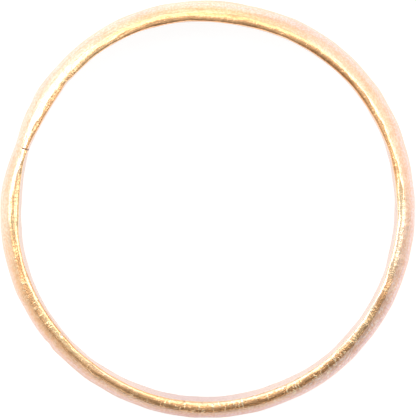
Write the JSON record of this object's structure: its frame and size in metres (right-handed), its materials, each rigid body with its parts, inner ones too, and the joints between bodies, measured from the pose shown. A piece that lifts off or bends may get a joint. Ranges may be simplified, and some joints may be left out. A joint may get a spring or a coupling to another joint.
{
  "type": "finger ring",
  "caption": "Plain D-section gold finger ring with a domed outside, a flat bore, a let-in sizing stretch and filed solder joints.",
  "frame": {"origin": "on the ring's axis, in the plane of the lower edge face that it lies on", "axes": "+Z along the ring's axis and the finger hole, up out of the surface it lies on; +X towards the right of the picture, +Y towards its top"},
  "size_m": [0.0198, 0.0198, 0.003],
  "materials": {
    "hoop_gold": "worn yellow gold, softly brushed dome and rubbed bright edges",
    "sizing_gold": "worn yellow gold of the sizing piece, softly brushed",
    "gold_solder": "gold solder, a little paler and pinker, filed flush"
  },
  "bodies": {
    "root": {"hoop": "hoop_gold", "sizing_piece": "sizing_gold", "seam_solder_upper": "gold_solder", "seam_solder_lower": "gold_solder"}
  },
  "joints": []
}
